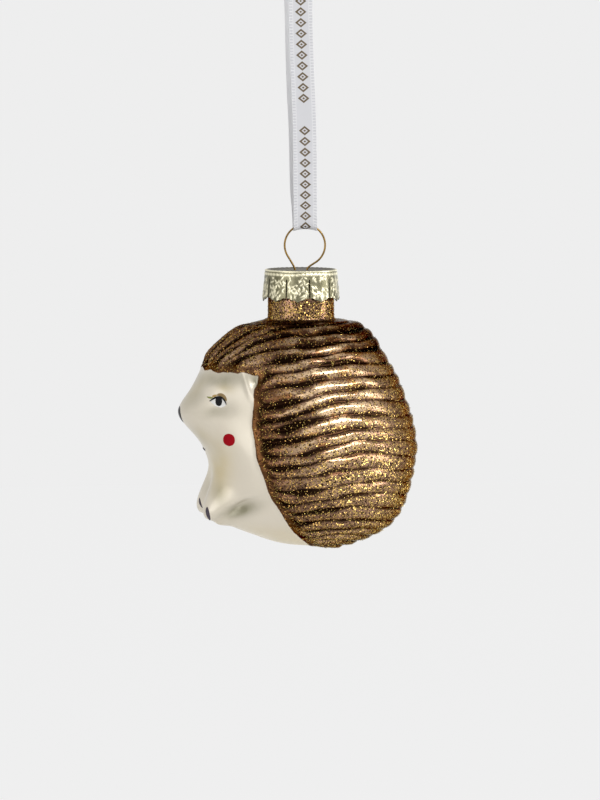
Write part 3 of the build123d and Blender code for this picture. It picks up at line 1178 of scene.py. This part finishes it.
    def stroke(self, name: str, points: Array, width: float) -> tuple[Piece, Array, Array]:
        """Shapes a line, widest in its middle.

        Args:
            name: Name of the piece.
            points: Points along it.
            width: Its width in the middle.

        Returns:
            The piece, its vertices' places in the side's view and their shares of the thickness.
        """
        piece, across, along = grid(name, 6, 36)
        bend = np.polyfit(np.linspace(0, 1, len(points)), points, min(len(points) - 1, 3)).T
        place = np.stack([np.polyval(line, along) for line in bend], axis=1)
        slope = unit(np.stack([np.polyval(np.polyder(line), along) for line in bend], axis=1))
        aside = np.stack([-slope[:, 1], slope[:, 0]], axis=1)
        spread = width * (0.15 + 0.85 * np.sin(np.pi * along) ** 0.7)
        return piece, place + aside * ((across - 0.5) * spread)[:, None], 1 - (2 * across - 1) ** 4

    def paint(self, mark: Mark, name: str, side: Side) -> None:
        """Lays a mark on the glass and gives it its thickness and its paint.

        Args:
            mark: The mark.
            name: Name of the piece.
            side: Side it belongs to. The near one's marks on the front are mirrored.
        """
        points = np.array(mark.points) + mark.centre
        if mark.front:
            points[:, 0] *= -1 if side is Side.NEAR else 1
            side = Side.FRONT
        piece, flat, hump = self.stroke(name, points, mark.width) if mark.width else self.dab(name, points)
        spots = []
        for (first, height), lift in zip(flat, mark.lift + self.thickness * hump + self.clearance):
            level = height + self.neck_z
            spot = Vector((0, first, level)) if side is Side.FRONT else Vector((first, 0, level))
            spots.append(self.lay(spot * MM, side, lift))
        move(piece, np.array(spots))
        edit(piece)
        push = Vector(side.value)
        if sum(face.normal.dot(push) * face.area for face in piece.data.polygons) > 0:
            piece.data.flip_normals()
        thicken(piece, self.sheet)
        finish_mesh(piece, self.paints[mark.paint], Body.GLASS, 60)

    def build(self) -> None:
        """Paints every mark, both sides alike."""
        for side in (Side.NEAR, Side.FAR):
            for mark in self.pairs:
                self.paint(mark, f"{mark.name}_{side.name.lower()}", side)
        for mark in self.singles:
            self.paint(mark, mark.name, Side.FRONT)


@dataclass
class CrownCap:
    """Stamped cap: a crimped top and ten hanging petals with foliage relief, in millimetres."""

    top_z: float
    top_radius: float = 9.2
    end_radius: float = 9.9
    skirt: float = 7.8
    rolled: float = 0.35
    shoulder: float = 2.2
    tip: float = 0.9
    slit: float = 0.35
    petals: int = 10
    phase: float = 24.3
    sheet: float = 0.25
    columns: int = 40
    rows: int = 46
    top_rows: int = 20
    crimps: int = 40
    leaves: int = 44
    seed: int = 21

    def relief(self, across: Array, drop: Array, index: int) -> Array:
        """Stamped foliage: leaves strewn over the petal under a row of beads, from 0 to 1.

        Args:
            across: Place across a petal, from -1 to 1.
            drop: Depth below the cap's top.
            index: Number of the petal.

        Returns:
            Height shares.
        """
        dice = np.random.default_rng(self.seed + index)
        height = bell((drop - 1.0) / 0.3) * (0.4 + 0.6 * np.cos(across * np.pi * 2.5) ** 2)
        side = across * self.end_radius * math.pi / self.petals
        for _ in range(self.leaves):
            middle, valley_shading = dice.uniform(-2.6, 2.6), dice.uniform(1.8, self.skirt - 0.6)
            angle = dice.uniform(-1.2, 1.2)
            along = (side - middle) * math.sin(angle) + (drop - valley_shading) * math.cos(angle)
            aside = (side - middle) * math.cos(angle) - (drop - valley_shading) * math.sin(angle)
            leaf = bell(along / dice.uniform(0.35, 0.65), aside / dice.uniform(0.13, 0.22))
            height = np.maximum(height, dice.uniform(0.6, 1.0) * leaf)
        return height

    def petal(self, index: int) -> Piece:
        """Shapes one petal from the cap's edge down to its tip."""
        piece, across, along = grid(f"petal_{index}", self.columns, self.rows)
        across = across * 2 - 1
        half = math.pi / self.petals
        scallop = np.abs(across) ** 0.7 * (1 - 0.12 * np.cos(across * np.pi * 4))
        end = self.skirt + 0.15 - (self.tip + 0.25) * scallop
        drop = self.rolled + (end - self.rolled) * along
        gap = self.slit / 2 / self.end_radius * smooth(self.shoulder - 0.1, self.shoulder + 0.1, drop)
        turn = math.radians(self.phase) + 2 * half * (index + 0.5) + across * (half - gap)
        height = self.relief(across, drop, index)
        flare = self.top_radius + (self.end_radius - self.top_radius) * drop / self.skirt
        bow = 0.12 * (1 - across**2) * smooth(3.0, 7.5, drop)
        move(piece, around(flare + 0.13 * height - 0.08 + bow, turn, self.top_z - drop) * MM)
        store(piece, "relief", height)
        store(piece, "level", np.zeros(len(height)))
        return piece

    def crown(self) -> Piece:
        """Shapes the cap's top from its middle to the rolled edge."""
        piece, share, outwards = grid("cap_top", self.petals * self.columns, self.top_rows)
        turn = math.radians(self.phase) + share * 2 * math.pi
        stations, radii, heights = np.array([
            (0, 0.0, -0.25), (0.72, 7.4, -0.25), (0.80, 8.3, -0.05), (0.88, 8.8, 0.0),
            (0.93, 9.15, -0.05), (0.97, 9.24, -0.18), (1.0, 9.22, -self.rolled),
        ]).T
        radius, height = np.interp(outwards, stations, radii), np.interp(outwards, stations, heights)
        ribs = 0.5 + 0.5 * np.cos(turn * self.crimps)
        crimp = smooth(5.5, 7.0, radius) * smooth(9.1, 8.6, radius)
        move(piece, around(radius, turn, self.top_z + (height + 0.07 * ribs * crimp)) * MM)
        # The relief's tone carries a painted highlight along the rolled edge
        store(piece, "relief", 0.3 + 0.3 * ribs * crimp + 0.4 * smooth(8.4, 9.0, radius))
        store(piece, "level", smooth(8.9, 8.5, radius))
        return piece

    def build(self, material: Material) -> None:
        """Joins the top and petals into one sheet of stamped metal and thickens it."""
        parts = [self.crown()] + [self.petal(index) for index in range(self.petals)]
        pick(parts[0])
        for part in parts[1:]:
            part.select_set(True)
        bpy.ops.object.join()
        piece = named("stamped_cap")
        edit(piece)
        thicken(piece, self.sheet)
        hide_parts("crown_cap")
        finish_mesh(piece, material, Body.CAP, 50)


@dataclass
class WireHanger:
    """Ring of spring wire with two legs that go through the cap and splay in the neck, in millimetres."""

    ring_top: float
    cap_z: float
    ring_radius: float = 5.2
    ring_shift: float = 1.0
    ring_points: int = 41
    wire_radius: float = 0.25
    leg: float = 1.55
    splay: float = 6.7

    def ring_z(self) -> float:
        """Height of the ring's middle."""
        return self.ring_top - self.wire_radius - self.ring_radius

    def touch(self, side: int) -> float:
        """Angle on the ring where one leg leaves it, side 1 at +X and -1 at -X."""
        across = side * self.leg - self.ring_shift
        down = self.cap_z + 0.4 - self.ring_z()
        return math.atan2(down, across) + side * math.acos(self.ring_radius / math.hypot(across, down))

    def build(self, material: Material) -> None:
        """Draws the brass wire as a curve of round section and makes it a mesh."""
        turns = np.linspace(self.touch(1), self.touch(-1) % (2 * math.pi), self.ring_points)
        shift, radius, middle = self.ring_shift, self.ring_radius, self.ring_z()
        ring = [(shift + radius * math.cos(turn), 0, middle + radius * math.sin(turn)) for turn in turns]
        shape = (
            (self.splay - 1.8, -14.0), (self.splay - 0.1, -11.4), (self.splay - 0.1, -10.8),
            (self.leg + 0.3, -5.4), (self.leg, -4.6), (self.leg, -0.4), (self.leg, 0.35),
        )
        right = [(x, 0, self.cap_z + height) for x, height in shape]
        left = [(-x, y, z) for x, y, z in reversed(right)]
        pick(draw(
            "wire_ring", right + ring + left, order=4, resolution=4,
            bevel_depth=self.wire_radius * MM, bevel_resolution=3, use_fill_caps=True,
        ))
        bpy.ops.object.convert(target="MESH")
        piece = bpy.context.object
        edit(piece)
        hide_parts("wire_hanger")
        finish_mesh(piece, material, Body.HANGER, 60)


@dataclass
class RibbonLoop:
    """Satin band that hangs the ornament, round the wire ring and back to its loop, in millimetres."""

    width: float = 6.0
    thickness: float = 0.28
    ring_radius: float = 5.2
    hinge_z: float = -68.0
    shift: float = 1.0
    bow: float = 0.85
    slip: float = 0.45
    cup: float = 0.5
    cup_top: float = 0.45
    columns: int = 24
    steps: int = 300
    route: Points = (
        (0.0, -68.75), (-1.15, -68.75), (-1.5, -66.0), (-2.95, -36.0), (-5.0, -6.5), (-5.3, 0.15),
        (5.3, 0.15), (5.0, -6.5), (2.95, -36.0), (1.5, -66.0), (1.15, -68.75), (0.0, -68.75),
    )

    def drift(self, height: Array) -> Array:
        """How far the band stands along X at a height, leaning over to the ring."""
        return self.shift * height / self.hinge_z - self.bow * smooth(-48.0, -12.0, height)

    def line(self) -> Array:
        """Points of the route's smooth curve."""
        y, z = np.array(self.route).T
        drawn = draw("ribbon_route", list(zip(self.drift(z), y, z)), 3, 24, resolution_u=24)
        bpy.context.view_layer.update()
        traced = bpy.data.meshes.new_from_object(drawn.evaluated_get(bpy.context.evaluated_depsgraph_get()))
        points = read(traced.vertices, "co", 3) / MM
        bpy.data.meshes.remove(traced)
        bpy.data.curves.remove(drawn.data)
        return points

    def build(self, material: Material) -> None:
        """Lays a band of satin along the route, cupped over the ring's wire."""
        line = self.line()
        runs = np.concatenate([[0], np.cumsum(np.linalg.norm(np.diff(line, axis=0), axis=1))])
        piece, across, along = grid("satin_ribbon", self.columns, self.steps)
        place = along * runs[-1]
        y, z = np.interp(place, runs, line[:, 1]), np.interp(place, runs, line[:, 2])
        x = (across - 0.5) * self.width
        sag = np.sqrt(self.ring_radius**2 - x**2) - self.ring_radius + self.cup_top
        z = z + self.cup * sag * smooth(-58.0, -67.5, z)
        front = smooth(0.5, 2.0, y) * smooth(-14.0, -36.0, z) * smooth(-67.0, -58.0, z)
        x = x + self.drift(z) - self.slip * front
        move(piece, np.stack([x, y, z], axis=1) * MM)
        edit(piece)
        thicken(piece, self.thickness, 0)
        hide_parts("ribbon")
        finish_mesh(piece, material, Body.RIBBON, 40)


@dataclass(frozen=True)
class Lamp:
    """Soft lamp: its place from the target and its size in metres, and its power in watts."""

    name: str
    place: tuple[float, float, float]
    wide: float
    tall: float
    watts: float


@dataclass
class Studio:
    """Camera, soft lamps, floor and pale surroundings, in metres."""

    target: tuple[float, float, float] = (-0.00025, 0.0, -0.1123)
    azimuth: float = -7.0
    elevation: float = 5.0
    distance: float = 1.2
    view_height: float = 0.20424
    sensor: float = 36.0
    shade: float = 0.855
    ambient: float = 0.46
    floor_drop: float = 0.34
    floor_size: float = 6.0
    lamps: tuple[Lamp, ...] = (
        Lamp("key_lamp", (0.5, -0.75, 0.5), 0.9, 0.24, 6.0),
        Lamp("fill_lamp", (-0.75, -0.65, -0.05), 0.7, 0.7, 3.0),
        Lamp("side_lamp", (0.97, -0.22, 0.1), 0.35, 0.5, 2.2),
        Lamp("back_lamp", (0.5, 0.85, -0.1), 0.8, 0.5, 0.9),
    )

    def stand(self, name: str, data: bpy.types.ID, away: Vector) -> Piece:
        """Stands a camera or lamp away from the target and turns it to look there."""
        piece = link(name, data)
        piece.location = Vector(self.target) + away
        piece.rotation_mode = "QUATERNION"
        piece.rotation_quaternion = away.to_track_quat("Z", "Y")
        return piece

    def build(self, groups: Groups) -> None:
        """Sets up the camera, lamps, floor and world."""
        scene = bpy.context.scene
        scene.view_settings.view_transform = "Standard"
        around_z, up = math.radians(self.azimuth), math.radians(self.elevation)
        back = Vector((math.sin(around_z) * math.cos(up), -math.cos(around_z) * math.cos(up), math.sin(up)))
        view = bpy.data.cameras.new("photo_camera")
        view.sensor_width = self.sensor
        view.lens = self.sensor * self.distance / self.view_height
        view.clip_start, view.clip_end = 0.01, 50
        scene.camera = self.stand("photo_camera", view, back * self.distance)
        for lamp in self.lamps:
            light = bpy.data.lights.new(lamp.name, "AREA")
            light.shape = "RECTANGLE"
            light.size, light.size_y, light.energy = lamp.wide, lamp.tall, lamp.watts
            self.stand(lamp.name, light, Vector(lamp.place))
        bpy.ops.mesh.primitive_grid_add(x_subdivisions=8, y_subdivisions=8, size=self.floor_size)
        floor = named("floor")
        spots = read(floor.data.vertices, "co", 3)
        spots[:, 2] = self.target[2] - self.floor_drop
        move(floor, spots)
        floor.data.materials.append(StageFinish(shade=self.shade, ambient=self.ambient).make(groups))
        self.surround()

    def surround(self) -> None:
        """Gives the world the background's colour where it is seen, and a plain level of light."""
        world = bpy.data.worlds.new("pale_room")
        bpy.context.scene.world = world
        world.use_nodes = True
        graph = Graph(world.node_tree)
        shine = world.node_tree.nodes["Background"]
        shine.inputs["Color"].default_value = (1, 1, 1, 1)
        graph.put(shine.inputs["Strength"], graph.between(graph.seen(), self.ambient, self.shade))


def main() -> None:
    """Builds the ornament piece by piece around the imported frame."""
    logging.basicConfig(level=logging.INFO, format="%(name)s: %(message)s")
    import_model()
    cap_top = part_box("crown_cap")[1].z / MM
    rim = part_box("glass_body")[1].z / MM
    ring_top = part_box("wire_hanger")[1].z / MM

    groups = Groups(glitter_group(), mottle_group())
    Studio().build(groups)
    RibbonLoop().build(SatinFinish().make(groups))
    WireHanger(ring_top=ring_top, cap_z=cap_top).build(WireFinish().make(groups))
    CrownCap(top_z=cap_top).build(StampedFinish().make(groups))
    body = GlassBody(neck_z=rim - GlassBody.neck_height)
    glass = body.build(LacquerFinish().make(groups))
    FacePaint(neck_z=body.neck_z, glass=glass, groups=groups).build()
    body.scatter(glass, FlakeFinish().make(groups))


if __name__ == "__main__":
    main()
